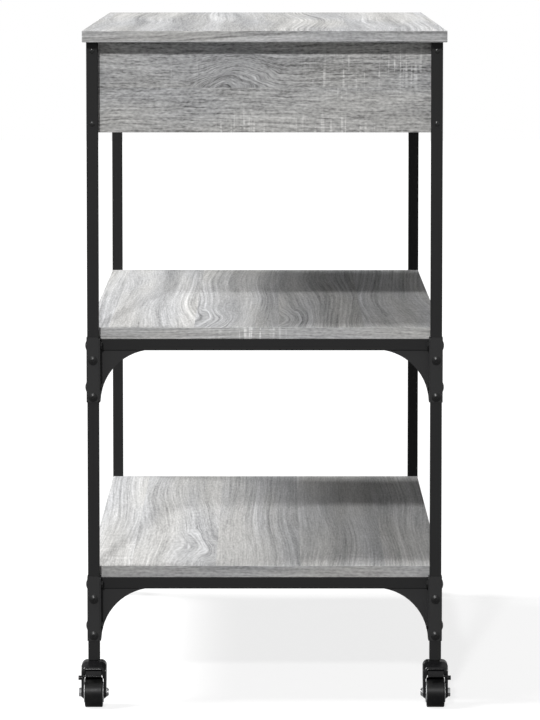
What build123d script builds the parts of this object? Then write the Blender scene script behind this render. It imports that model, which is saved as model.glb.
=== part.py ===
"""Kitchen island cart: steel tube frame on four casters, two shelves, and two drawers under the worktop.

Millimetres. X runs across the short end, Y along the cart, Z up. The origin is on the floor, midway
between the sides and between the ends. The front end faces -Y and the drawers open towards +X.
"""
from math import sqrt
import os

from build123d import *

os.makedirs("parts", exist_ok=True)

# Overall sizes
overall_height = 938.0
top_width = 500.0
top_length = 1020.0
top_thickness = 16.0
top_edge_round = 1.2
side_overhang = 5.0
end_overhang = 20.0

# Steel tube
tube_size = 16.0
tube_wall = 1.2
tube_corner = 1.0
leg_bottom = 65.0

# Shelves
bottom_shelf_top = 194.0
middle_shelf_top = 527.0
shelf_thickness = 16.0
shelf_gap = 0.5
board_edge_round = 0.6

# Gusset brackets at every corner of both shelf frames
gusset_height = 90.0
gusset_rise = 3.5
gusset_radius = 74.0
gusset_drop = 73.0
ear_thickness = 1.7
web_thickness = 1.5
web_setback = 2.0
side_sheet = 1.0
gusset_corner = 3.0

# Bolts, nuts and screws
bolt_radius = 2.5
bolt_clearance = 0.05
bolt_head_radius = 6.25
bolt_head_height = 2.1
bolt_head_rim = 0.5
socket_across_flats = 4.0
socket_depth = 1.6
nut_across_flats = 9.0
nut_thickness = 2.8
cross_bolt_depths = (11.6, 69.5)
face_bolt_depths = (32.0, 83.0)
screw_radius = 1.75
screw_head_radius = 3.6
screw_head_height = 1.4
screw_slot_length = 3.6
screw_slot_width = 0.9
screw_slot_depth = 0.9
screw_bite = 11.0
screw_inset = 12.5

# Drawer carcass under the worktop
carcass_height = 125.0
panel_thickness = 16.0
floor_thickness = 12.0
bracket_leg = 15.0
bracket_width = 20.0
bracket_thickness = 1.5
bracket_end_spacing = 260.0
bracket_back_spacing = 460.0

# Drawers
drawer_travel_gap = 0.5
front_gap = 2.0
front_meeting_gap = 3.0
front_top_gap = 3.0
front_thickness = 16.0
pull_width = 110.0
pull_depth = 27.0
drawer_length = 400.0
drawer_board = 12.0
drawer_side_height = 80.0
drawer_floor_gap = 6.0
drawer_bottom_thickness = 5.0
drawer_bottom_rise = 5.0

# Drawer runners
runner_space = 12.7
runner_height = 35.0
runner_length = 380.0
runner_sheet = 1.2
runner_flange = 7.8
runner_rise = 29.0
runner_clearance = 0.3
runner_set_back = 9.0

# Casters
wheel_radius = 20.7
tyre_width = 24.5
tyre_corner = 1.6
hub_radius = 14.0
hub_boss_radius = 5.0
hub_boss_width = 30.0
hub_rim_width = 27.0
hub_dish = 1.4
trail = 15.0
fork_width = 34.6
fork_sheet = 2.0
fork_shoulder = 7.5
fork_edge_round = 5.0
fork_crown_round = 6.0
fork_eye = 9.5
fork_pad = 7.2
fork_back = 13.0
fork_skirt = 40.0
fork_crown = 13.0
fork_nose = 7.5
fork_mouth_height = 54.0
fork_mouth_neck = 11.6
fork_mouth_width = 13.8
swivel_gap = 0.3
stem_radius = 4.0
stem_length = 20.0
stem_clearance = 0.05
pivot_radius = 3.5
collar_radius = 8.0
collar_thickness = 1.5
rivet_radius = 6.0
rivet_thickness = 1.9
insert_length = 22.0
axle_radius = 3.0
axle_clearance = 0.05
axle_head_radius = 6.5
axle_half_length = 20.65
axle_head_chamfer = 0.6
axle_collar = 1.3
axle_collar_radius = 4.9
axle_collar_round = 0.9

# Brake pedals on the two front casters
pedal_width = 22.0
pedal_sheet = 1.8
pedal_pin_radius = 1.5
pedal_barrel_radius = 2.6
pedal_pin_height = 56.0
pedal_pin_reach = 12.0
pedal_knee_reach = 24.0
pedal_knee_height = 51.0
pedal_lip_reach = 30.0
pedal_lip_height = 45.5
pedal_lip_radius = 1.6
pedal_pad_reach = 21.0
pedal_pad_height = 43.2
pedal_pad_thickness = 2.4
pedal_bar_radius = 1.2
pedal_knob_radius = 3.1
pedal_knob_length = 5.4
pedal_knob_reach = 3.4
pedal_knob_drop = 2.0

# Places worked out from the sizes above
half_frame_x = top_width / 2 - side_overhang
half_frame_y = top_length / 2 - end_overhang
leg_x = half_frame_x - tube_size / 2
leg_y = half_frame_y - tube_size / 2
leg_inner_x = half_frame_x - tube_size
leg_inner_y = half_frame_y - tube_size
leg_top = overall_height - top_thickness
carcass_bottom = leg_top - carcass_height
carcass_inner_y = leg_inner_y - panel_thickness
carcass_inner_x = half_frame_x - panel_thickness
bolt_hole_radius = bolt_radius + bolt_clearance
screw_hole_radius = screw_radius + bolt_clearance
shelf_levels = {"middle": middle_shelf_top, "bottom": bottom_shelf_top}
sides = {"left": -1, "right": 1}
ends = {"front": -1, "rear": 1}


def rail_top(level):
    return shelf_levels[level] - shelf_thickness


def rail_bottom(level):
    return rail_top(level) - tube_size


def ear_top(level):
    return rail_top(level) + gusset_rise


def cross_bolt_heights(level):
    return [ear_top(level) - depth for depth in cross_bolt_depths]


def face_bolt_heights(level):
    return [ear_top(level) - depth for depth in face_bolt_depths]


screw_heights = (leg_top - screw_inset, carcass_bottom + screw_inset)
all_cross_heights = [z for level in shelf_levels for z in cross_bolt_heights(level)]
all_face_heights = [z for level in shelf_levels for z in face_bolt_heights(level)]


def write_part(piece, node):
    """Label one finished piece and write its STEP file."""
    piece.part.label = node
    export_step(piece.part, f"parts/{node}.step")


def plane_at_x(x):
    return Plane.YZ.offset(x)


def plane_at_y(y):
    return Plane.XZ.offset(-y)


# ---------------------------------------------------------------- worktop and shelves

with BuildPart() as table_top:
    with BuildSketch(Plane.XY.offset(leg_top)):
        Rectangle(top_width, top_length)
    extrude(amount=top_thickness)
    fillet(table_top.edges(), radius=top_edge_round)
write_part(table_top, "table_top")


def make_shelf(level):
    """One shelf board, lying on its rails between the front and rear legs."""
    with BuildPart() as shelf:
        with BuildSketch(Plane.XY.offset(rail_top(level))):
            Rectangle(2 * (half_frame_x - shelf_gap), 2 * (leg_inner_y - shelf_gap))
        extrude(amount=shelf_thickness)
        fillet(shelf.edges(), radius=board_edge_round)
    return shelf


for level in shelf_levels:
    write_part(make_shelf(level), f"{level}_shelf")


# ---------------------------------------------------------------- legs and rails


def make_leg(side, end):
    """Square tube leg with its bolt holes and screw holes drilled through both walls."""
    with BuildPart() as leg:
        with BuildSketch(Plane.XY.offset(leg_bottom)):
            with Locations((side * leg_x, end * leg_y)):
                RectangleRounded(tube_size, tube_size, tube_corner)
                Rectangle(tube_size - 2 * tube_wall, tube_size - 2 * tube_wall, mode=Mode.SUBTRACT)
        extrude(amount=leg_top - leg_bottom)
        with BuildSketch(plane_at_x(side * leg_x)):
            with Locations([(end * leg_y, z) for z in all_cross_heights]):
                Circle(bolt_hole_radius)
        extrude(amount=tube_size, both=True, mode=Mode.SUBTRACT)
        with BuildSketch(plane_at_y(end * leg_y)):
            with Locations([(side * leg_x, z) for z in all_face_heights]):
                Circle(bolt_hole_radius)
            with Locations([(side * leg_x, z) for z in screw_heights]):
                Circle(screw_hole_radius)
        extrude(amount=tube_size, both=True, mode=Mode.SUBTRACT)
    return leg


for end_name, end in ends.items():
    for side_name, side in sides.items():
        write_part(make_leg(side, end), f"{end_name}_{side_name}_leg")


def make_end_rail(level, end):
    """Square tube across the end of a shelf frame, behind the two legs of that end."""
    with BuildPart() as rail:
        with BuildSketch(plane_at_x(-half_frame_x)):
            with Locations((end * (leg_inner_y - tube_size / 2), rail_top(level) - tube_size / 2)):
                RectangleRounded(tube_size, tube_size, tube_corner)
                Rectangle(tube_size - 2 * tube_wall, tube_size - 2 * tube_wall, mode=Mode.SUBTRACT)
        extrude(amount=2 * half_frame_x)
    return rail


def make_side_rail(level, side):
    """Square tube along the side of a shelf frame, between the two end rails."""
    half_length = leg_inner_y - tube_size
    with BuildPart() as rail:
        with BuildSketch(plane_at_y(half_length)):
            with Locations((side * leg_x, rail_top(level) - tube_size / 2)):
                RectangleRounded(tube_size, tube_size, tube_corner)
                Rectangle(tube_size - 2 * tube_wall, tube_size - 2 * tube_wall, mode=Mode.SUBTRACT)
        extrude(amount=2 * half_length)
    return rail


for level in shelf_levels:
    for end_name, end in ends.items():
        write_part(make_end_rail(level, end), f"{level}_{end_name}_rail")
    for side_name, side in sides.items():
        write_part(make_side_rail(level, side), f"{level}_{side_name}_rail")


# ---------------------------------------------------------------- gusset brackets


def gusset_arc(leg_face, level):
    """Ends and middle of the quarter arc under a rail, as (distance from centre line, height)."""
    centre = leg_face - ear_thickness - gusset_radius
    centre_height = rail_bottom(level) - gusset_drop
    foot = ear_top(level) - gusset_height
    tip = (centre + sqrt(gusset_radius**2 - gusset_drop**2), rail_bottom(level))
    middle = (centre + gusset_radius / sqrt(2), centre_height + gusset_radius / sqrt(2))
    heel = (centre + sqrt(gusset_radius**2 - (foot - centre_height) ** 2), foot)
    return tip, middle, heel


def copy_to_all_corners():
    """Mirror what the active part holds from the rear right corner to the other three."""
    mirror(about=Plane.XZ)
    mirror(about=Plane.YZ)


def make_end_gussets(level):
    """Four brackets under the end rails, each with an ear against the inner side of a leg."""
    tip, middle, heel = gusset_arc(leg_inner_x, level)
    top = ear_top(level)
    foot = top - gusset_height
    web_back = leg_inner_y - web_setback - web_thickness
    with BuildPart() as gussets:
        with BuildSketch(plane_at_y(web_back)):
            with BuildLine():
                ThreePointArc(tip, middle, heel)
                Polyline(heel, (leg_inner_x, foot), (leg_inner_x, rail_bottom(level)), tip)
            make_face()
        extrude(amount=-web_thickness)
        with BuildSketch(plane_at_x(leg_inner_x)):
            with BuildLine():
                Polyline(
                    (web_back, foot),
                    (half_frame_y, foot),
                    (half_frame_y, top),
                    (leg_inner_y, top),
                    (leg_inner_y, rail_bottom(level)),
                    (web_back, rail_bottom(level)),
                    close=True,
                )
            make_face()
            outer_corners = vertices().sort_by(Axis.Y)[-2:]
            fillet(outer_corners, radius=gusset_corner)
            with Locations([(leg_y, z) for z in cross_bolt_heights(level)]):
                Circle(bolt_hole_radius, mode=Mode.SUBTRACT)
        extrude(amount=-ear_thickness)
        copy_to_all_corners()
    return gussets


def make_side_gussets(level):
    """Four brackets on the outer faces of the side rails, each folded round the end of a leg."""
    tip, middle, heel = gusset_arc(leg_inner_y, level)
    top = ear_top(level)
    foot = top - gusset_height
    reach = leg_inner_y - ear_thickness - gusset_radius
    with BuildPart() as gussets:
        with BuildSketch(plane_at_x(half_frame_x)):
            with BuildLine():
                ThreePointArc(tip, middle, heel)
                Polyline(
                    heel,
                    (half_frame_y + side_sheet, foot),
                    (half_frame_y + side_sheet, top),
                    (leg_inner_y, top),
                    (leg_inner_y - gusset_rise, rail_top(level)),
                    (reach, rail_top(level)),
                    (reach, rail_bottom(level)),
                    tip,
                )
            make_face()
            with Locations([(leg_y, z) for z in cross_bolt_heights(level)]):
                Circle(bolt_hole_radius, mode=Mode.SUBTRACT)
        extrude(amount=side_sheet)
        with BuildSketch(plane_at_y(half_frame_y)):
            with Locations((half_frame_x, foot)):
                Rectangle(tube_size, gusset_height, align=(Align.MAX, Align.MIN))
            inner_corners = vertices().sort_by(Axis.X)[:2]
            fillet(inner_corners, radius=gusset_corner)
            with Locations([(leg_x, z) for z in face_bolt_heights(level)]):
                Circle(bolt_hole_radius, mode=Mode.SUBTRACT)
        extrude(amount=-side_sheet)
        copy_to_all_corners()
    return gussets


for level in shelf_levels:
    write_part(make_end_gussets(level), f"{level}_end_gussets")
    write_part(make_side_gussets(level), f"{level}_side_gussets")


# ---------------------------------------------------------------- bolts, nuts and screws


def domed_profile(seat, outward, shank, shank_radius, head_radius, head_height):
    """Half section of a fastener: a domed head seated at a point, its shank running back inwards."""
    with BuildSketch(Plane(origin=seat, x_dir=outward, z_dir=(0, 0, 1))) as profile:
        with BuildLine():
            Polyline(
                (head_height, 0),
                (-shank, 0),
                (-shank, shank_radius),
                (0, shank_radius),
                (0, head_radius),
                (bolt_head_rim, head_radius),
            )
            TangentArc((head_height, 0), (bolt_head_rim, head_radius), tangent=(0, 1))
        make_face()
    return profile.sketch


def socket_profile(seat, outward, floor_height):
    """Hexagon on the floor of a key socket, some height above the seat of the head."""
    with BuildSketch(Plane(origin=seat, z_dir=outward).offset(floor_height)) as profile:
        RegularPolygon(socket_across_flats / 2, 6, major_radius=False)
    return profile.sketch


def slot_profile(seat, outward, floor_height):
    """Crossed slots on the floor of a screw's driver recess."""
    with BuildSketch(Plane(origin=seat, z_dir=outward).offset(floor_height)) as profile:
        Rectangle(screw_slot_length, screw_slot_width)
        Rectangle(screw_slot_width, screw_slot_length)
    return profile.sketch


def add_bolt(seat, outward, reach):
    """Revolve one gusset bolt into the active part and cut its key socket."""
    profile = domed_profile(seat, outward, reach, bolt_radius, bolt_head_radius, bolt_head_height)
    revolve(profile, axis=Axis(seat, outward))
    socket = socket_profile(seat, outward, bolt_head_height - socket_depth)
    extrude(socket, amount=socket_depth, mode=Mode.SUBTRACT)


cross_bolt_reach = side_sheet + tube_size + ear_thickness + nut_thickness
face_bolt_reach = side_sheet + tube_size + nut_thickness

with BuildPart() as gusset_bolts:
    for height in all_cross_heights:
        add_bolt((half_frame_x + side_sheet, leg_y, height), (1, 0, 0), cross_bolt_reach)
    for height in all_face_heights:
        add_bolt((leg_x, half_frame_y + side_sheet, height), (0, 1, 0), face_bolt_reach)
    copy_to_all_corners()
write_part(gusset_bolts, "gusset_bolts")

with BuildPart() as gusset_nuts:
    with BuildSketch(plane_at_x(leg_inner_x - ear_thickness)):
        with Locations([(leg_y, z) for z in all_cross_heights]):
            RegularPolygon(nut_across_flats / 2, 6, major_radius=False)
            Circle(bolt_hole_radius, mode=Mode.SUBTRACT)
    extrude(amount=-nut_thickness)
    with BuildSketch(plane_at_y(leg_inner_y)):
        with Locations([(leg_x, z) for z in all_face_heights]):
            RegularPolygon(nut_across_flats / 2, 6, major_radius=False)
            Circle(bolt_hole_radius, mode=Mode.SUBTRACT)
    extrude(amount=nut_thickness)
    copy_to_all_corners()
write_part(gusset_nuts, "gusset_nuts")

with BuildPart() as panel_screws:
    for height in screw_heights:
        seat = (leg_x, half_frame_y, height)
        reach = tube_size + screw_bite
        profile = domed_profile(
            seat, (0, 1, 0), reach, screw_radius, screw_head_radius, screw_head_height
        )
        revolve(profile, axis=Axis(seat, (0, 1, 0)))
        recess = slot_profile(seat, (0, 1, 0), screw_head_height - screw_slot_depth)
        extrude(recess, amount=screw_slot_depth, mode=Mode.SUBTRACT)
    copy_to_all_corners()
write_part(panel_screws, "panel_screws")


# ---------------------------------------------------------------- drawer carcass


def make_end_panel(end):
    """Panel across one end, behind the legs, with blind pilot holes for its four screws."""
    with BuildPart() as panel:
        with BuildSketch(plane_at_y(end * carcass_inner_y)):
            with Locations((0, carcass_bottom)):
                Rectangle(2 * half_frame_x, carcass_height, align=(Align.CENTER, Align.MIN))
        extrude(amount=-end * panel_thickness)
        fillet(panel.edges(), radius=board_edge_round)
        with BuildSketch(plane_at_y(end * leg_inner_y)):
            with Locations([(s * leg_x, z) for s in sides.values() for z in screw_heights]):
                Circle(screw_hole_radius)
        extrude(amount=end * screw_bite, mode=Mode.SUBTRACT)
    return panel


for end_name, end in ends.items():
    write_part(make_end_panel(end), f"{end_name}_end_panel")

with BuildPart() as back_panel:
    with BuildSketch(Plane.XY.offset(carcass_bottom)):
        with Locations((-half_frame_x, 0)):
            Rectangle(panel_thickness, 2 * carcass_inner_y, align=(Align.MIN, Align.CENTER))
    extrude(amount=carcass_height)
    fillet(back_panel.edges().filter_by(Axis.Y).group_by(Axis.X)[0], radius=board_edge_round)
write_part(back_panel, "back_panel")

carcass_depth = 2 * carcass_inner_x - drawer_travel_gap

with BuildPart() as carcass_floor:
    with BuildSketch(Plane.XY.offset(carcass_bottom)):
        with Locations((-carcass_inner_x, 0)):
            Rectangle(carcass_depth, 2 * carcass_inner_y, align=(Align.MIN, Align.CENTER))
    extrude(amount=floor_thickness)
write_part(carcass_floor, "carcass_floor")

with BuildPart() as drawer_divider:
    with BuildSketch(Plane.XY.offset(carcass_bottom + floor_thickness)):
        with Locations((-carcass_inner_x, 0)):
            Rectangle(carcass_depth, panel_thickness, align=(Align.MIN, Align.CENTER))
    extrude(amount=carcass_height - floor_thickness)
write_part(drawer_divider, "drawer_divider")


def angle_profile(plane, place, height, toward):
    """Right-angle section hanging from a height, whose foot points one way from its wall."""
    with BuildSketch(plane) as profile:
        with BuildLine():
            Polyline(
                (place, height),
                (place + toward * bracket_leg, height),
                (place + toward * bracket_leg, height - bracket_thickness),
                (place + toward * bracket_thickness, height - bracket_thickness),
                (place + toward * bracket_thickness, height - bracket_leg),
                (place, height - bracket_leg),
                close=True,
            )
        make_face()
    return profile.sketch


with BuildPart() as top_brackets:
    for end in ends.values():
        for x in (-bracket_end_spacing / 2, bracket_end_spacing / 2):
            profile = angle_profile(plane_at_x(x), end * carcass_inner_y, leg_top, -end)
            extrude(profile, amount=bracket_width / 2, both=True)
    for y in (-bracket_back_spacing / 2, bracket_back_spacing / 2):
        profile = angle_profile(plane_at_y(y), -carcass_inner_x, leg_top, 1)
        extrude(profile, amount=bracket_width / 2, both=True)
write_part(top_brackets, "top_brackets")


# ---------------------------------------------------------------- drawers and runners

bay_width = carcass_inner_y - panel_thickness / 2
bay_centre = panel_thickness / 2 + bay_width / 2
drawer_width = bay_width - 2 * runner_space
drawer_front_face = half_frame_x
drawer_box_front = drawer_front_face - front_thickness
drawer_box_back = drawer_box_front - drawer_length
drawer_box_bottom = carcass_bottom + floor_thickness + drawer_floor_gap
drawer_bottom_height = drawer_box_bottom + drawer_bottom_rise
runner_bottom = carcass_bottom + floor_thickness + runner_rise
runner_front = drawer_box_front - runner_set_back


def make_drawer_front(end):
    """Inset drawer front with a rounded finger cut-out in its top edge."""
    inner = front_meeting_gap / 2
    outer = carcass_inner_y - front_gap
    top = leg_top - front_top_gap
    with BuildPart() as front:
        with BuildSketch(plane_at_x(drawer_box_front)):
            with BuildLine():
                Polyline(
                    (end * inner, carcass_bottom),
                    (end * outer, carcass_bottom),
                    (end * outer, top),
                    (end * inner, top),
                    close=True,
                )
            make_face()
            with Locations((end * bay_centre, top)):
                SlotOverall(pull_width, 2 * pull_depth, mode=Mode.SUBTRACT)
        extrude(amount=front_thickness)
        fillet(front.edges().filter_by(GeomType.LINE).group_by(Axis.X)[-1], radius=board_edge_round)
    return front


def make_drawer_sides(end):
    """The two side boards of a drawer box."""
    with BuildPart() as boards:
        with BuildSketch(Plane.XY.offset(drawer_box_bottom)):
            for face in (-1, 1):
                place = end * bay_centre + face * (drawer_width - drawer_board) / 2
                with Locations(((drawer_box_front + drawer_box_back) / 2, place)):
                    Rectangle(drawer_length, drawer_board)
        extrude(amount=drawer_side_height)
    return boards


def make_drawer_back(end):
    """Back board of a drawer box, standing on the bottom between the sides."""
    height = drawer_box_bottom + drawer_side_height - drawer_bottom_height - drawer_bottom_thickness
    with BuildPart() as board:
        with BuildSketch(Plane.XY.offset(drawer_bottom_height + drawer_bottom_thickness)):
            with Locations((drawer_box_back + drawer_board / 2, end * bay_centre)):
                Rectangle(drawer_board, drawer_width - 2 * drawer_board)
        extrude(amount=height)
    return board


def make_drawer_bottom(end):
    """Thin bottom of a drawer box, between the sides and against the front."""
    with BuildPart() as board:
        with BuildSketch(Plane.XY.offset(drawer_bottom_height)):
            with Locations(((drawer_box_front + drawer_box_back) / 2, end * bay_centre)):
                Rectangle(drawer_length, drawer_width - 2 * drawer_board)
        extrude(amount=drawer_bottom_thickness)
    return board


def channel_profile(wall, toward, bottom, height):
    """Channel section across a runner, with its web at a wall and its flanges pointing one way."""
    depth = runner_sheet + runner_flange
    with BuildSketch(plane_at_x(runner_front)) as profile:
        with BuildLine():
            Polyline(
                (wall, bottom),
                (wall + toward * depth, bottom),
                (wall + toward * depth, bottom + runner_sheet),
                (wall + toward * runner_sheet, bottom + runner_sheet),
                (wall + toward * runner_sheet, bottom + height - runner_sheet),
                (wall + toward * depth, bottom + height - runner_sheet),
                (wall + toward * depth, bottom + height),
                (wall, bottom + height),
                close=True,
            )
        make_face()
    return profile.sketch


def make_cabinet_runners(end):
    """The two channels screwed to the walls of a drawer bay."""
    with BuildPart() as runners:
        for face in (-1, 1):
            wall = end * bay_centre + face * bay_width / 2
            profile = channel_profile(wall, -face, runner_bottom, runner_height)
            extrude(profile, amount=runner_length, dir=(-1, 0, 0))
    return runners


def make_drawer_runners(end):
    """The two channels on a drawer box, running inside those of the carcass."""
    inset = runner_sheet + runner_clearance
    with BuildPart() as runners:
        for face in (-1, 1):
            wall = end * bay_centre + face * drawer_width / 2
            profile = channel_profile(wall, face, runner_bottom + inset, runner_height - 2 * inset)
            extrude(profile, amount=runner_length, dir=(-1, 0, 0))
    return runners


for end_name, end in ends.items():
    write_part(make_drawer_front(end), f"{end_name}_drawer_front")
    write_part(make_drawer_sides(end), f"{end_name}_drawer_sides")
    write_part(make_drawer_back(end), f"{end_name}_drawer_back")
    write_part(make_drawer_bottom(end), f"{end_name}_drawer_bottom")
    write_part(make_drawer_runners(end), f"{end_name}_drawer_runners")
    write_part(make_cabinet_runners(end), f"{end_name}_cabinet_runners")


# ---------------------------------------------------------------- caster stems

collar_bottom = leg_bottom - collar_thickness
fork_top = collar_bottom - swivel_gap
fork_underside = fork_top - fork_sheet
rivet_top = fork_underside - swivel_gap

with BuildPart() as leg_inserts:
    with BuildSketch(Plane.XY.offset(leg_bottom)):
        with Locations((leg_x, leg_y)):
            Rectangle(tube_size - 2 * tube_wall, tube_size - 2 * tube_wall)
            Circle(stem_radius + stem_clearance, mode=Mode.SUBTRACT)
    extrude(amount=insert_length)
    copy_to_all_corners()
write_part(leg_inserts, "leg_inserts")

with BuildPart() as caster_stems:
    with BuildSketch(Plane.XZ.offset(-leg_y)):
        with BuildLine():
            Polyline(
                (leg_x, rivet_top - rivet_thickness),
                (leg_x + rivet_radius, rivet_top - rivet_thickness),
                (leg_x + rivet_radius, rivet_top),
                (leg_x + pivot_radius, rivet_top),
                (leg_x + pivot_radius, collar_bottom),
                (leg_x + collar_radius, collar_bottom),
                (leg_x + collar_radius, leg_bottom),
                (leg_x + stem_radius, leg_bottom),
                (leg_x + stem_radius, leg_bottom + stem_length),
                (leg_x, leg_bottom + stem_length),
                close=True,
            )
        make_face()
    revolve(axis=Axis((leg_x, leg_y, 0), (0, 0, 1)))
    copy_to_all_corners()
write_part(caster_stems, "caster_stems")


# ---------------------------------------------------------------- casters


fork_front = trail + fork_eye


def axle_y(end):
    return end * (leg_y + trail)


def fork_outline(side, end, inset):
    """Side view of the hood, drawn in by an inset: crown, sloping nose, and cheeks down to the axle."""
    with BuildSketch(plane_at_x(side * leg_x)) as outline:
        with BuildLine():
            Polyline(
                (end * (leg_y - fork_back), fork_skirt),
                (end * (leg_y - fork_back), fork_top),
                (end * (leg_y + fork_crown), fork_top),
                (end * (leg_y + fork_front), fork_top - fork_nose),
            )
            CenterArc((axle_y(end), wheel_radius), fork_eye, 0, 360)
        make_hull()
        if inset > 0:
            offset(amount=-inset, mode=Mode.REPLACE)
    return outline.sketch


def make_hood(side, end, inset):
    """Solid hood with all its edges rounded, drawn in by an inset."""
    with BuildPart() as hood:
        extrude(fork_outline(side, end, inset), amount=fork_width / 2 - inset, both=True)
        crown_edges = hood.edges().filter_by(Axis.X).group_by(Axis.Z)[-1]
        back_crown = crown_edges.sort_by(lambda edge: abs(edge.center().Y))[0]
        fillet(back_crown, radius=fork_crown_round - inset)
        shoulder_level = fork_top - max(fork_nose, fork_shoulder)
        rims = hood.faces().filter_by(Axis.X).edges()
        shoulders = rims.filter_by(lambda edge: edge.center().Z > shoulder_level)
        fillet(shoulders, radius=fork_shoulder - inset)
        rims = hood.faces().filter_by(Axis.X).edges()
        cheek_edges = rims.filter_by(lambda edge: edge.center().Z < shoulder_level - inset)
        fillet(cheek_edges, radius=fork_edge_round - inset)
    return hood


def make_fork(side, end):
    """Pressed hood, closed behind, with a mouth for the wheel and a pad at each end of the axle."""
    cavity = make_hood(side, end, fork_sheet)
    with BuildPart() as fork:
        add(make_hood(side, end, 0).part)
        add(cavity.part, mode=Mode.SUBTRACT)
        with BuildSketch(Plane(origin=(side * leg_x, end * leg_y, 0), x_dir=(1, 0, 0), z_dir=(0, -1, 0))):
            with BuildLine():
                Polyline(
                    (-fork_mouth_width, 0),
                    (-fork_mouth_width, fork_skirt),
                    (-fork_mouth_neck, pedal_lip_height),
                    (-fork_mouth_neck, fork_mouth_height),
                    (fork_mouth_neck, fork_mouth_height),
                    (fork_mouth_neck, pedal_lip_height),
                    (fork_mouth_width, fork_skirt),
                    (fork_mouth_width, 0),
                    close=True,
                )
            make_face()
        extrude(amount=-end * 2 * fork_front, mode=Mode.SUBTRACT)
        with BuildSketch(Plane.XY):
            with Locations((side * leg_x, end * leg_y)):
                Rectangle(2 * fork_mouth_width, 4 * fork_back)
        extrude(amount=fork_skirt, mode=Mode.SUBTRACT)
        for face in (-1, 1):
            with BuildSketch(plane_at_x(side * leg_x + face * (fork_width / 2 - fork_sheet))):
                with Locations((axle_y(end), wheel_radius)):
                    Circle(fork_pad)
            extrude(amount=face * fork_sheet)
        with BuildSketch(Plane.XY.offset(fork_underside)):
            with Locations((side * leg_x, end * leg_y)):
                Circle(pivot_radius + stem_clearance)
        extrude(amount=fork_sheet, mode=Mode.SUBTRACT)
        with BuildSketch(plane_at_x(side * leg_x)):
            with Locations((axle_y(end), wheel_radius)):
                Circle(axle_radius + axle_clearance)
            if end == ends["front"]:
                with Locations((end * (leg_y + pedal_pin_reach), pedal_pin_height)):
                    Circle(pedal_pin_radius + axle_clearance)
        extrude(amount=fork_width, both=True, mode=Mode.SUBTRACT)
    return fork


def make_hub(side, end):
    """Wheel hub with a dished face and a boss on each side."""
    half_boss = hub_boss_width / 2
    half_rim = hub_rim_width / 2
    bore = axle_radius + axle_clearance
    with BuildPart() as hub:
        with BuildSketch(Plane(origin=(side * leg_x, axle_y(end), wheel_radius))):
            with BuildLine():
                Polyline(
                    (-half_boss, bore),
                    (half_boss, bore),
                    (half_boss, hub_boss_radius),
                    (half_rim - hub_dish, hub_boss_radius + hub_dish),
                    (half_rim, hub_radius - hub_dish / 2),
                    (half_rim, hub_radius),
                    (-half_rim, hub_radius),
                    (-half_rim, hub_radius - hub_dish / 2),
                    (-half_rim + hub_dish, hub_boss_radius + hub_dish),
                    (-half_boss, hub_boss_radius),
                    close=True,
                )
            make_face()
        revolve(axis=Axis((0, axle_y(end), wheel_radius), (1, 0, 0)))
    return hub


def make_tyre(side, end):
    """Solid tyre round the hub, with rounded shoulders."""
    with BuildPart() as tyre:
        with BuildSketch(plane_at_x(side * leg_x)):
            with Locations((axle_y(end), wheel_radius)):
                Circle(wheel_radius)
                Circle(hub_radius, mode=Mode.SUBTRACT)
        extrude(amount=tyre_width / 2, both=True)
        rims = tyre.edges().filter_by(GeomType.CIRCLE).sort_by(SortBy.RADIUS)[-2:]
        fillet(rims, radius=tyre_corner)
    return tyre


def make_axle(side, end):
    """Axle bolt across the fork: hexagon head on the outer cheek, nut with a collar on the inner one."""
    head = axle_half_length - fork_width / 2
    with BuildPart() as axle:
        with BuildSketch(plane_at_x(side * leg_x)):
            with Locations((axle_y(end), wheel_radius)):
                Circle(axle_radius)
        extrude(amount=fork_width / 2, both=True)
        for face, thickness in ((side, head), (-side, head - axle_collar)):
            with BuildSketch(plane_at_x(side * leg_x + face * fork_width / 2)):
                with Locations((axle_y(end), wheel_radius)):
                    RegularPolygon(axle_head_radius, 6)
            extrude(amount=face * thickness)
            outer_face = axle.faces().filter_by(Axis.X).sort_by(Axis.X)[-1 if face > 0 else 0]
            chamfer(outer_face.edges(), length=axle_head_chamfer)
        with BuildSketch(plane_at_x(side * (leg_x - axle_half_length + axle_collar))):
            with Locations((axle_y(end), wheel_radius)):
                Circle(axle_collar_radius)
        extrude(amount=-side * axle_collar)
        collar_face = axle.faces().filter_by(Axis.X).sort_by(Axis.X)[0 if side > 0 else -1]
        fillet(collar_face.edges(), radius=axle_collar_round)
    return axle


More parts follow.
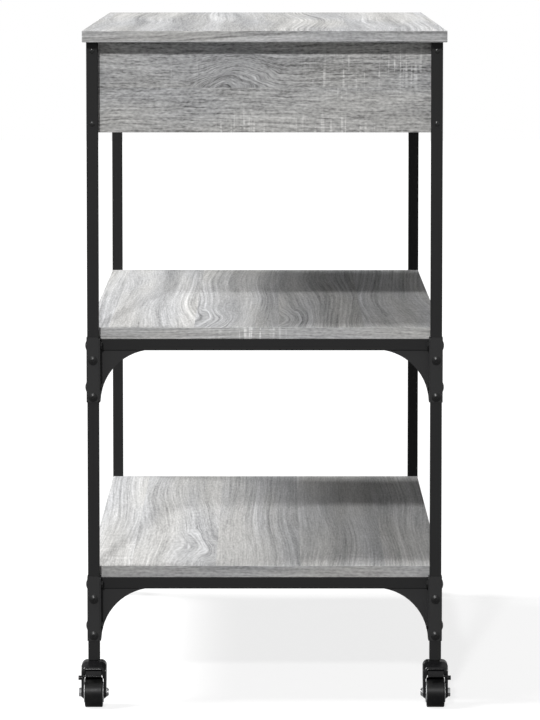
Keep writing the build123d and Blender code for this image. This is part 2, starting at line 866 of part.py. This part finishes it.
def make_brake_pedal(side, end):
    """Bent sheet lever on a cross pin, with a brake pad, a rolled lip and a knob past the fork."""
    def place(reach, height):
        return (end * (leg_y + reach), height)

    with BuildPart() as pedal:
        with BuildSketch(plane_at_x(side * leg_x)):
            with BuildLine():
                spine = Polyline(
                    place(pedal_pin_reach, pedal_pin_height + pedal_barrel_radius - pedal_sheet / 2),
                    place(pedal_knee_reach, pedal_knee_height),
                    place(pedal_lip_reach, pedal_lip_height),
                )
                offset(spine, amount=pedal_sheet / 2)
            make_face()
            with Locations(place(pedal_pin_reach, pedal_pin_height)):
                Circle(pedal_barrel_radius)
            with Locations(place(pedal_lip_reach, pedal_lip_height)):
                Circle(pedal_lip_radius)
            with BuildLine():
                Polyline(
                    place(pedal_pad_reach, pedal_pad_height),
                    place(pedal_pad_reach + pedal_pad_thickness, pedal_pad_height),
                    place(pedal_pad_reach + pedal_pad_thickness, pedal_knee_height),
                    place(pedal_pad_reach, pedal_knee_height),
                    close=True,
                )
            make_face()
        extrude(amount=pedal_width / 2, both=True)
        with BuildSketch(plane_at_x(side * leg_x)):
            with Locations(place(pedal_pin_reach, pedal_pin_height)):
                Circle(pedal_pin_radius)
        extrude(amount=fork_width / 2, both=True)
        knob_end = fork_width / 2 + pedal_knob_reach
        with BuildSketch(plane_at_x(side * leg_x)):
            with Locations(place(pedal_lip_reach, pedal_lip_height)):
                Circle(pedal_bar_radius)
        extrude(amount=side * knob_end)
        with BuildSketch(plane_at_x(side * (leg_x + knob_end))):
            with Locations(place(pedal_lip_reach, pedal_lip_height - pedal_knob_drop)):
                Circle(pedal_knob_radius)
        extrude(amount=-side * pedal_knob_length)
    return pedal


for end_name, end in ends.items():
    for side_name, side in sides.items():
        caster = f"{end_name}_{side_name}"
        write_part(make_fork(side, end), f"{caster}_fork")
        write_part(make_hub(side, end), f"{caster}_hub")
        write_part(make_tyre(side, end), f"{caster}_tyre")
        write_part(make_axle(side, end), f"{caster}_axle")

for side_name, side in sides.items():
    write_part(make_brake_pedal(side, ends["front"]), f"front_{side_name}_brake_pedal")
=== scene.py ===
"""Looks of the kitchen island cart: finishes, floor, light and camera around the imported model.

All lengths are in metres."""
import math

import bpy
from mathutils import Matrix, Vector

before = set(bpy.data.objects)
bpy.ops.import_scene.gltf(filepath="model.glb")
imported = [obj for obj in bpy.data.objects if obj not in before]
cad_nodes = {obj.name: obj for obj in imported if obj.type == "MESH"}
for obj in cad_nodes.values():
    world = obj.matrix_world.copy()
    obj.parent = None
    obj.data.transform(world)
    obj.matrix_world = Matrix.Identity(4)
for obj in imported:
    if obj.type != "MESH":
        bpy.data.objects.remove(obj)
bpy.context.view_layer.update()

ENDS = ("front", "rear")
SIDES = ("left", "right")
LEVELS = ("middle", "bottom")
AXES = {"x": 0, "y": 1, "z": 2}
WHITE = (1, 1, 1, 1)


# ---------------------------------------------------------------- node helpers

COMPARE_MARGIN = 0.5


class Graph:
    """A node tree, with short calls for the nodes that it needs."""

    def __init__(self, tree):
        self.tree = tree

    def add(self, kind, **settings):
        node = self.tree.nodes.new(kind)
        for key, value in settings.items():
            setattr(node, key, value)
        return node

    def feed(self, socket, value):
        """Give a socket a number, a colour or another node's output."""
        if isinstance(value, bpy.types.NodeSocket):
            self.tree.links.new(value, socket)
        else:
            socket.default_value = value

    def coordinates(self, kind):
        """Coordinates of the shaded point, such as Object, Normal or Generated."""
        return self.add("ShaderNodeTexCoord").outputs[kind]

    def math(self, operation, first, second=0.0):
        node = self.add("ShaderNodeMath", operation=operation)
        self.feed(node.inputs[0], first)
        self.feed(node.inputs[1], second)
        node.inputs[2].default_value = COMPARE_MARGIN
        return node.outputs[0]

    def total(self, *values):
        """Sum of several values."""
        result = values[0]
        for value in values[1:]:
            result = self.math("ADD", result, value)
        return result

    def scaled(self, value, low, high):
        """A value from 0 to 1 stretched to run from low to high."""
        return self.math("ADD", self.math("MULTIPLY", value, high - low), low)

    def swing(self, value, reach):
        """A value from 0 to 1 stretched to run the same distance either side of 0."""
        return self.scaled(value, -reach, reach)

    def step(self, value, start, end, low=0.0, high=1.0):
        """Low below start and high above end, smooth between them."""
        node = self.add("ShaderNodeMapRange", interpolation_type="SMOOTHSTEP")
        self.feed(node.inputs["Value"], value)
        node.inputs["From Min"].default_value = start
        node.inputs["From Max"].default_value = end
        node.inputs["To Min"].default_value = low
        node.inputs["To Max"].default_value = high
        return node.outputs["Result"]

    def pick(self, choice, if_zero, if_one):
        """Mix of two values."""
        node = self.add("ShaderNodeMix", data_type="FLOAT")
        self.feed(node.inputs[0], choice)
        self.feed(node.inputs[2], if_zero)
        self.feed(node.inputs[3], if_one)
        return node.outputs[0]

    def blend(self, amount, first, second):
        """Mix of two colours."""
        node = self.add("ShaderNodeMix", data_type="RGBA")
        self.feed(node.inputs[0], amount)
        self.feed(node.inputs[6], first)
        self.feed(node.inputs[7], second)
        return node.outputs[2]

    def join(self, x, y, z=0.0):
        node = self.add("ShaderNodeCombineXYZ")
        for socket, value in zip(node.inputs, (x, y, z)):
            self.feed(socket, value)
        return node.outputs[0]

    def split(self, vector):
        node = self.add("ShaderNodeSeparateXYZ")
        self.feed(node.inputs[0], vector)
        return node.outputs

    def noise(self, vector, scale=1.0, detail=2.0, roughness=0.5):
        node = self.add("ShaderNodeTexNoise")
        self.feed(node.inputs["Vector"], vector)
        node.inputs["Scale"].default_value = scale
        node.inputs["Detail"].default_value = detail
        node.inputs["Roughness"].default_value = roughness
        return node.outputs["Fac"]

    def stretched_noise(self, along, across, rates, offset, detail):
        """Noise over two directions, each with its own number of features per metre."""
        x = self.math("MULTIPLY", along, rates[0])
        y = self.math("MULTIPLY", across, rates[1])
        return self.noise(self.join(x, y, offset), detail=detail)

    def spot(self, position, centre, size):
        """1 at a centre, falling to 0 at the rim of an ellipse around it."""
        offsets = [
            self.math("DIVIDE", self.math("SUBTRACT", value, middle), reach)
            for value, middle, reach in zip(position, centre, size)
        ]
        distance = self.add("ShaderNodeVectorMath", operation="LENGTH")
        self.feed(distance.inputs[0], self.join(*offsets))
        return self.step(distance.outputs["Value"], 1.0, 0.0)

    def times(self, colour, factor):
        """A colour made lighter or darker by a factor."""
        node = self.add("ShaderNodeVectorMath", operation="SCALE")
        self.feed(node.inputs[0], colour)
        self.feed(node.inputs["Scale"], factor)
        return node.outputs["Vector"]


class Shader(Graph):
    """A node material around one Principled shader."""

    def __init__(self, name, roughness=0.5, metallic=0.0, specular=0.5):
        self.material = bpy.data.materials.new(name)
        self.material.use_nodes = True
        super().__init__(self.material.node_tree)
        self.surface = self.tree.nodes["Principled BSDF"]
        self.surface.inputs["Roughness"].default_value = roughness
        self.surface.inputs["Metallic"].default_value = metallic
        self.surface.inputs["Specular IOR Level"].default_value = specular

    def colour(self, value):
        self.feed(self.surface.inputs["Base Color"], value)

    def roughness(self, value):
        self.feed(self.surface.inputs["Roughness"], value)

    def bump(self, height, strength, distance):
        node = self.add("ShaderNodeBump")
        self.feed(node.inputs["Height"], height)
        node.inputs["Strength"].default_value = strength
        node.inputs["Distance"].default_value = distance
        self.feed(self.surface.inputs["Normal"], node.outputs[0])


def grey(level, blue):
    """Opaque grey with its own blue level."""
    return (level, level, blue, 1)


def give(material, *names):
    """Put one material on every slot of the named CAD nodes."""
    for name in names:
        mesh = cad_nodes[name].data
        if not mesh.materials:
            mesh.materials.append(material)
        for index in range(len(mesh.materials)):
            mesh.materials[index] = material


# ---------------------------------------------------------------- grey washed oak laminate

OAK_COOL = (0.410, 0.412, 0.418, 1)
OAK_WARM = (0.418, 0.414, 0.405, 1)
OAK_TINT_EDGES = (0.35, 0.65)
OAK_SPECULAR = 0.04
OAK_ROUGHNESS = (0.50, 0.72)
TONE_RANGE = (0.30, 1.75)
PLANK_WIDTH = 0.118
PLANK_STAGGER = 5.0
FLECK_DEPTH = 0.5

# A face belongs to an axis when its normal runs at least this much along it
FACING = 0.7

# Where on the print the long edges and the end edges are cut from
LONG_EDGE_PRINT = 0.37
END_EDGE_PRINT = 0.61

# Layers of the print. Each has its features per metre along and across the grain, its offset from
# the board's seed, its detail and, where it has edges, the noise levels where it starts and is full
LAYERS = {
    "swell": ((1.6, 6.0), 0.0, 0.0, None),
    "wander": ((8.0, 26.0), 4.1, 2.0, None),
    "ring patches": ((4.0, 13.0), 1.3, 2.0, (0.42, 0.60)),
    "clouds": ((3.2, 12.0), 9.9, 2.0, None),
    "bands": ((1.2, 30.0), 3.1, 2.0, None),
    "rings": ((3.0, 250.0), 5.3, 1.0, None),
    "fibres": ((30.0, 520.0), 7.7, 3.0, None),
    "specks": ((170.0, 430.0), 8.8, 2.0, None),
    "flecks": ((20.0, 400.0), 2.9, 2.0, (0.59, 0.68)),
    "saw patches": ((6.0, 12.0), 6.4, 2.0, (0.56, 0.70)),
    "saw lines": ((250.0, 11.0), 2.2, 1.0, (0.54, 0.66)),
    "weave": ((30.0, 420.0), 4.4, 1.0, (0.30, 0.58)),
}

# How far the grain line strays sideways, and how strongly each layer changes the tone
SWELL_REACH = 0.024
WANDER_REACH = 0.0032
CLOUD_TONE = 0.36
BAND_TONE = 0.95
RING_TONE = 1.25
FIBRE_TONE = 0.92
SPECK_TONE = 0.95
FLECK_TONE = 0.28
PLANK_TONE = 0.05
SAW_TONE = 0.70

# Knots and saw marks: half sizes (along, across), and how far the rim of a knot strays
KNOT_SIZE = (0.075, 0.060)
KNOT_STRAY = (0.06, -0.014)
SAW_SIZE = (0.075, 0.048)


def oak(name, along, across, seed, plank_start=0.0, figure=1.0, grit=1.0, marks=1.0, pace=1.0,
        painted_face_light=1.0, painted_edge_light=1.0, knots=(), saws=()):
    """Printed oak board. Its grain runs along one axis, and on end edges along the edge.

    Figure is how strongly its broad bands and growth rings show, grit the same for its short fibres
    and marks for its scattered saw marks. Pace below 1 draws the grain out along the broad faces.
    The face and edge tones are painted light and shade: they make the broad faces, and the banding
    on the end edges, lighter or darker. Knots are (along, across, lift) in metres and bend the
    grain around a point of their plank. Saws are (along, across) and add a patch of saw marks. On a
    broad face, along is times the pace."""
    shader = Shader(name, specular=OAK_SPECULAR)
    thin = ({"x", "y", "z"} - {along, across}).pop()
    place = shader.split(shader.coordinates("Object"))
    facing = shader.split(shader.coordinates("Normal"))

    def faces(axis):
        tilt = shader.math("ABSOLUTE", facing[AXES[axis]])
        return shader.math("GREATER_THAN", tilt, FACING)

    # Position on the print: length with the grain and width across it, on faces and edges alike
    end_face = faces(along)
    place_along = place[AXES[along]]
    place_across = place[AXES[across]]
    long_edge = shader.math("ADD", place[AXES[thin]], LONG_EDGE_PRINT)
    end_edge = shader.math("ADD", place[AXES[thin]], END_EDGE_PRINT)
    broad_width = shader.pick(faces(across), place_across, long_edge)
    width = shader.pick(end_face, broad_width, end_edge)
    length = shader.pick(end_face, shader.math("MULTIPLY", place_along, pace), place_across)
    true_length = shader.pick(end_face, place_along, place_across)

    # Planks, each with its print started somewhere else
    plank = shader.math("DIVIDE", shader.math("SUBTRACT", width, plank_start), PLANK_WIDTH)
    plank = shader.math("FLOOR", plank)
    shift = shader.add("ShaderNodeTexWhiteNoise", noise_dimensions="2D")
    shader.feed(shift.inputs["Vector"], shader.join(plank, seed))
    plank_shift = shift.outputs["Value"]
    stagger = shader.math("MULTIPLY", plank_shift, PLANK_STAGGER)
    run = shader.math("ADD", length, stagger)
    true_run = shader.math("ADD", true_length, stagger)

    def layer(kind, position, line):
        rates, offset, detail, edges = LAYERS[kind]
        value = shader.stretched_noise(position, line, rates, seed + offset, detail)
        return shader.step(value, *edges) if edges else value

    # Grain line: the width, swollen, wandering and lifted around knots
    swell = layer("swell", true_run, width)
    wander = layer("wander", run, width)
    bends = (shader.swing(swell, SWELL_REACH), shader.swing(wander, WANDER_REACH))
    grain = shader.total(width, *bends)
    ring_patch = layer("ring patches", run, width)
    ragged = [
        shader.math("ADD", value, shader.swing(wander, stray))
        for value, stray in zip((length, width), KNOT_STRAY)
    ]
    for knot_along, knot_across, lift in knots:
        near = shader.spot(ragged, (knot_along, knot_across), KNOT_SIZE)
        knot_plank = math.floor((knot_across - plank_start) / PLANK_WIDTH)
        near = shader.math("MULTIPLY", near, shader.math("COMPARE", plank, knot_plank))
        grain = shader.math("SUBTRACT", grain, shader.math("MULTIPLY", near, lift))
        ring_patch = shader.math("ADD", ring_patch, near)

    clouds = layer("clouds", run, width)
    bands = layer("bands", run, grain)
    rings = layer("rings", run, grain)
    fibres = layer("fibres", run, grain)
    specks = layer("specks", run, grain)
    flecks = layer("flecks", run, grain)

    # Saw marks: pale lines across the grain, broken up by a weave and kept to patches
    saw_patch = shader.math("MULTIPLY", layer("saw patches", run, width), marks)
    for saw in saws:
        saw_patch = shader.math("ADD", saw_patch, shader.spot((length, width), saw, SAW_SIZE))
    weave = layer("weave", run, width)
    saw_lines = shader.math("MULTIPLY", layer("saw lines", run, width), weave)
    saw_lines = shader.math("MULTIPLY", saw_lines, saw_patch)

    rings = shader.swing(rings, RING_TONE * figure)
    tone = shader.total(
        shader.swing(bands, BAND_TONE * figure),
        shader.scaled(clouds, 1 - CLOUD_TONE * figure, 1 + CLOUD_TONE * figure),
        shader.math("MULTIPLY", rings, ring_patch),
        shader.swing(fibres, FIBRE_TONE * grit),
        shader.swing(specks, SPECK_TONE * grit),
        shader.swing(plank_shift, PLANK_TONE),
        shader.math("MULTIPLY", flecks, -FLECK_TONE * grit),
        shader.math("MULTIPLY", saw_lines, SAW_TONE),
    )
    darkest, lightest = TONE_RANGE
    tone = shader.math("MINIMUM", shader.math("MAXIMUM", tone, darkest), lightest)
    # Painted light and shade: broad faces and end edges made lighter or darker to stand in for how
    # the light falls on them
    tone = shader.math("MULTIPLY", tone, shader.pick(end_face, painted_face_light, painted_edge_light))

    tint = shader.blend(shader.step(clouds, *OAK_TINT_EDGES), OAK_COOL, OAK_WARM)
    shader.colour(shader.times(tint, tone))
    shader.roughness(shader.scaled(fibres, *OAK_ROUGHNESS))
    relief = shader.math("SUBTRACT", fibres, shader.math("MULTIPLY", flecks, FLECK_DEPTH))
    shader.bump(relief, strength=0.2, distance=0.0002)
    return shader.material


# ---------------------------------------------------------------- metals, plastics and rubber

# Dark and light factors on a material's level, each for red and green and then for blue
COAT_SHADES = ((0.8, 0.82), (1.25, 1.27))
PLATE_SHADES = ((0.82, 0.84), (1.08, 1.08))
PLASTIC_SHADES = ((0.85, 0.87), (1.2, 1.2))

ENAMEL_DARK = grey(0.004, 0.0045)
ENAMEL_LIGHT = grey(0.009, 0.0095)
TYRE_DARK = grey(0.005, 0.0055)
TYRE_LIGHT = grey(0.010, 0.0095)
TYRE_DUST = grey(0.022, 0.020)
DUST_COVER = 0.4

# Size of the finer noises, in features per metre
SHEET_GRAIN = 900.0
FASTENER_GRAIN = 1500.0
DRAWN_LINES = (40.0, 1600.0, 1600.0)


def shades(level, factors):
    """A dark and a light grey around a level."""
    return [grey(level * tone, level * blue) for tone, blue in factors]


def powder_coat(name, level, roughness, specular, grain):
    """Black baked coating with a fine texture and a slightly uneven tone."""
    shader = Shader(name, specular=specular)
    place = shader.coordinates("Object")
    speckle = shader.noise(place, scale=grain, detail=3.0)
    drift = shader.noise(place, scale=14.0, detail=3.0)
    mottle = shader.math("MULTIPLY", drift, speckle)
    shader.colour(shader.blend(mottle, *shades(level, COAT_SHADES)))
    shader.roughness(shader.scaled(drift, low=roughness - 0.08, high=roughness + 0.08))
    shader.bump(speckle, strength=0.12, distance=0.0001)
    return shader.material


def enamel(name):
    """Glossy black enamel with a slight ripple and fine rub marks."""
    shader = Shader(name, specular=0.22)
    place = shader.coordinates("Object")
    ripple = shader.noise(place, scale=160.0, detail=2.0)
    rubs = shader.noise(place, scale=1400.0, detail=4.0, roughness=0.7)
    shader.colour(shader.blend(ripple, ENAMEL_DARK, ENAMEL_LIGHT))
    shader.roughness(shader.scaled(rubs, low=0.08, high=0.22))
    shader.bump(ripple, strength=0.10, distance=0.0003)
    return shader.material


def plated(name, level, roughness):
    """Bright plated or zinc-coated steel with fine drawn lines along X."""
    shader = Shader(name, roughness=roughness, metallic=1.0)
    place = shader.split(shader.coordinates("Object"))
    drawn = [shader.math("MULTIPLY", value, rate) for value, rate in zip(place, DRAWN_LINES)]
    lines = shader.noise(shader.join(*drawn), detail=3.0)
    shader.colour(shader.blend(lines, *shades(level, PLATE_SHADES)))
    shader.roughness(shader.scaled(lines, low=roughness - 0.06, high=roughness + 0.10))
    shader.bump(lines, strength=0.08, distance=0.0001)
    return shader.material


def moulded(name, level, roughness):
    """Moulded plastic with a fine spark-eroded grain."""
    shader = Shader(name)
    place = shader.coordinates("Object")
    pebble = shader.noise(place, scale=500.0, detail=2.0)
    flow = shader.noise(place, scale=60.0, detail=2.0)
    shader.colour(shader.blend(flow, *shades(level, PLASTIC_SHADES)))
    shader.roughness(shader.scaled(pebble, low=roughness - 0.08, high=roughness + 0.10))
    shader.bump(pebble, strength=0.15, distance=0.0001)
    return shader.material


def rubber(name):
    """Dark tyre rubber, grimy and dusty in places."""
    shader = Shader(name, specular=0.14)
    place = shader.coordinates("Object")
    dust = shader.noise(place, scale=220.0, detail=4.0, roughness=0.65)
    grime = shader.noise(place, scale=45.0, detail=3.0)
    base = shader.blend(shader.step(grime, start=0.35, end=0.75), TYRE_DARK, TYRE_LIGHT)
    dusted = shader.math("MULTIPLY", shader.step(dust, start=0.5, end=0.8), DUST_COVER)
    shader.colour(shader.blend(dusted, base, TYRE_DUST))
    shader.roughness(shader.scaled(dust, low=0.26, high=0.52))
    shader.bump(dust, strength=0.2, distance=0.0002)
    return shader.material


# ---------------------------------------------------------------- finishes on the CAD nodes

# How the print shows on each kind of board. The face tones on the shelves (lighter) and on the
# front end panel (darker) are painted light and shade
TOP = {"figure": 0.60, "grit": 0.5, "marks": 0.5, "pace": 0.4}
SHELF = {"figure": 0.47, "grit": 0.45, "marks": 0.3, "pace": 0.33, "painted_face_light": 1.07}
FRONT = {"plank_start": 0.0325, "figure": 0.44, "grit": 0.84, "painted_face_light": 0.93}
PANEL = {"plank_start": 0.0325, "figure": 0.40, "grit": 0.85}
BOX = {"figure": 0.5, "grit": 0.7, "pace": 0.6}

# Knots (along, across, lift) and patches of saw marks (along, across), listed one by one
MIDDLE_KNOTS = ((-0.11, -0.07, 0.017), (-0.12, 0.03, 0.022))
MIDDLE_SAWS = ((-0.02, 1.13),)
BOTTOM_KNOTS = ((-0.10, -0.085, 0.016),)
FRONT_KNOTS = ((-0.035, 0.862, 0.034),)
FRONT_SAWS = ((0.19, 0.885), (0.10, 0.878), (0.14, 0.785))
REAR_KNOTS = ((0.06, 0.84, 0.034),)
REAR_SAWS = ((-0.14, 0.88),)
BACK_KNOTS = ((0.22, 0.86, 0.034),)
BACK_SAWS = ((-0.25, 0.80),)

give(oak("worktop oak", "y", "x", 1.0, **TOP), "table_top")
# The edge tones paint light on the middle shelf's front and back edges and shade on the bottom
# shelf's
middle = oak("middle shelf oak", "y", "x", 12.0, plank_start=0.02, painted_edge_light=1.07,
             knots=MIDDLE_KNOTS, saws=MIDDLE_SAWS, **SHELF)
give(middle, "middle_shelf")
bottom = oak("bottom shelf oak", "y", "x", 29.0, plank_start=0.05, painted_edge_light=0.82,
             knots=BOTTOM_KNOTS, **SHELF)
give(bottom, "bottom_shelf")
front_end = oak("front end oak", "x", "z", 33.0, knots=FRONT_KNOTS, saws=FRONT_SAWS, **FRONT)
give(front_end, "front_end_panel")
rear_end = oak("rear end oak", "x", "z", 41.0, knots=REAR_KNOTS, saws=REAR_SAWS, **PANEL)
give(rear_end, "rear_end_panel")
give(oak("back oak", "y", "z", 57.0, knots=BACK_KNOTS, saws=BACK_SAWS, **PANEL), "back_panel")
give(oak("carcass oak", "y", "x", 63.0, **BOX), "carcass_floor")
give(oak("divider oak", "x", "z", 68.0, **BOX), "drawer_divider")

DRAWER_SEED_STEP = 9
for number, end in enumerate(ENDS):
    seed_shift = DRAWER_SEED_STEP * number
    give(oak(f"{end} drawer oak", "y", "z", 71.0 + seed_shift, **PANEL), f"{end}_drawer_front")
    give(oak(f"{end} drawer box", "x", "z", 91.0 + seed_shift, **BOX), f"{end}_drawer_sides")
    give(oak(f"{end} drawer back", "y", "z", 111.0 + seed_shift, **BOX), f"{end}_drawer_back")
    give(oak(f"{end} drawer bottom", "y", "x", 131.0 + seed_shift, **BOX), f"{end}_drawer_bottom")

steel = powder_coat("black steel", level=0.0118, roughness=0.5, specular=0.16, grain=SHEET_GRAIN)
gusset = powder_coat("gusset steel", level=0.0192, roughness=0.52, specular=0.2, grain=SHEET_GRAIN)
fastener = powder_coat("black fastener", level=0.010, roughness=0.31, specular=0.19,
                       grain=FASTENER_GRAIN)
screw_black = powder_coat("black screw", level=0.003, roughness=0.23, specular=0.42,
                          grain=FASTENER_GRAIN)
zinc = plated("zinc steel", level=0.62, roughness=0.32)
chrome = plated("bright axle", level=0.46, roughness=0.16)
black_enamel = enamel("caster enamel")
hub_plastic = moulded("hub plastic", level=0.42, roughness=0.40)
insert_plastic = moulded("insert plastic", level=0.03, roughness=0.5)
tyre_rubber = rubber("tyre rubber")

for end in ENDS:
    for side in SIDES:
        give(steel, f"{end}_{side}_leg")
        give(black_enamel, f"{end}_{side}_fork")
        give(chrome, f"{end}_{side}_axle")
        give(hub_plastic, f"{end}_{side}_hub")
        give(tyre_rubber, f"{end}_{side}_tyre")
    give(zinc, f"{end}_drawer_runners", f"{end}_cabinet_runners")
for level in LEVELS:
    give(steel, *[f"{level}_{place}_rail" for place in ENDS + SIDES])
    give(gusset, f"{level}_end_gussets", f"{level}_side_gussets")
for side in SIDES:
    give(black_enamel, f"front_{side}_brake_pedal")
give(fastener, "gusset_bolts", "gusset_nuts")
give(screw_black, "panel_screws")
give(zinc, "top_brackets")
give(black_enamel, "caster_stems")
give(insert_plastic, "leg_inserts")


# ---------------------------------------------------------------- floor

FLOOR_HALF = 14.0
FLOOR_LEVEL = 0.26
FLOOR_ROUGHNESS = 0.9
FLOOR_GLOW = 0.81
FLOOR_GLOSS = 0.08


def make_floor():
    """Pale floor that shows almost white, keeps the cart's shadow and looks dark in gloss."""
    mesh = bpy.data.meshes.new("floor")
    corners = [(-1, -1), (1, -1), (1, 1), (-1, 1)]
    mesh.from_pydata([(x * FLOOR_HALF, y * FLOOR_HALF, 0) for x, y in corners], [], [(0, 1, 2, 3)])
    floor = bpy.data.objects.new("floor", mesh)
    bpy.context.scene.collection.objects.link(floor)
    shader = Shader("pale floor", roughness=FLOOR_ROUGHNESS, specular=0.0)
    shader.colour(grey(FLOOR_LEVEL, FLOOR_LEVEL))
    shader.feed(shader.surface.inputs["Emission Color"], WHITE)
    path = shader.add("ShaderNodeLightPath")
    seen = shader.math("MULTIPLY", path.outputs["Is Camera Ray"], FLOOR_GLOW)
    reflected = shader.math("MULTIPLY", path.outputs["Is Glossy Ray"], FLOOR_GLOSS)
    shader.feed(shader.surface.inputs["Emission Strength"], shader.math("ADD", seen, reflected))
    mesh.materials.append(shader.material)


# ---------------------------------------------------------------- light

WORLD_LIGHT = 0.14
WALL_GLOSS = 1.0
CEILING_GLOSS = 0.8
FAR_WALL_GLOSS = 0.25
SUN_DISTANCE = 6.0

# Where the walls give way to the ceiling, by a ray's Z, and to the far wall, by its Y
CEILING_EDGES = (0.24, 0.50)
FAR_WALL_EDGES = (0.30, 0.85)


def make_world():
    """Even studio light around a plain white background.

    Glossy surfaces see white walls, a slightly dimmer ceiling and a dim far wall."""
    world = bpy.data.worlds.new("studio")
    bpy.context.scene.world = world
    world.use_nodes = True
    graph = Graph(world.node_tree)
    background = graph.tree.nodes["Background"]
    background.inputs["Color"].default_value = WHITE
    direction = graph.split(graph.coordinates("Generated"))
    walls = graph.step(direction["Z"], *CEILING_EDGES, low=WALL_GLOSS, high=CEILING_GLOSS)
    far_wall = graph.step(direction["Y"], *FAR_WALL_EDGES, low=WALL_GLOSS, high=FAR_WALL_GLOSS)
    room = graph.math("MULTIPLY", walls, far_wall)
    path = graph.add("ShaderNodeLightPath")
    light = graph.pick(path.outputs["Is Glossy Ray"], WORLD_LIGHT, room)
    light = graph.math("MAXIMUM", path.outputs["Is Camera Ray"], light)
    graph.feed(background.inputs["Strength"], light)


def add_sun(name, strength, bearing, elevation, softness):
    """Distant light from a compass bearing (0 from -Y, 90 from +X) and height, all in degrees."""
    bearing = math.radians(bearing)
    elevation = math.radians(elevation)
    flat = math.cos(elevation)
    place = (math.sin(bearing) * flat, -math.cos(bearing) * flat, math.sin(elevation))
    data = bpy.data.lights.new(name, "SUN")
    data.energy = strength
    data.angle = math.radians(softness)
    lamp = bpy.data.objects.new(name, data)
    lamp.location = Vector(place) * SUN_DISTANCE
    lamp.rotation_euler = (-lamp.location).to_track_quat("-Z", "Y").to_euler()
    lamp.visible_camera = False
    bpy.context.scene.collection.objects.link(lamp)


make_floor()
make_world()
add_sun("key", strength=2.05, bearing=-8, elevation=26, softness=3.0)
add_sun("left window", strength=4.35, bearing=-90, elevation=51, softness=26)
add_sun("side fill", strength=0.9, bearing=120, elevation=3, softness=20)


# ---------------------------------------------------------------- camera

CAMERA_PLACE = (0.0074, -6.408, 1.1069)
CAMERA_DIP = 5.057
LENS = 215.5
SENSOR_WIDTH = 36
LENS_SHIFT = -0.1
VIEW_DEPTH = 60

camera = bpy.data.objects.new("camera", bpy.data.cameras.new("camera"))
camera.location = CAMERA_PLACE
camera.rotation_euler = (math.radians(90 - CAMERA_DIP), 0, 0)
camera.data.lens = LENS
camera.data.sensor_width = SENSOR_WIDTH
camera.data.shift_y = LENS_SHIFT
camera.data.clip_end = VIEW_DEPTH
bpy.context.scene.collection.objects.link(camera)
bpy.context.scene.camera = camera
bpy.context.scene.view_settings.view_transform = "Standard"
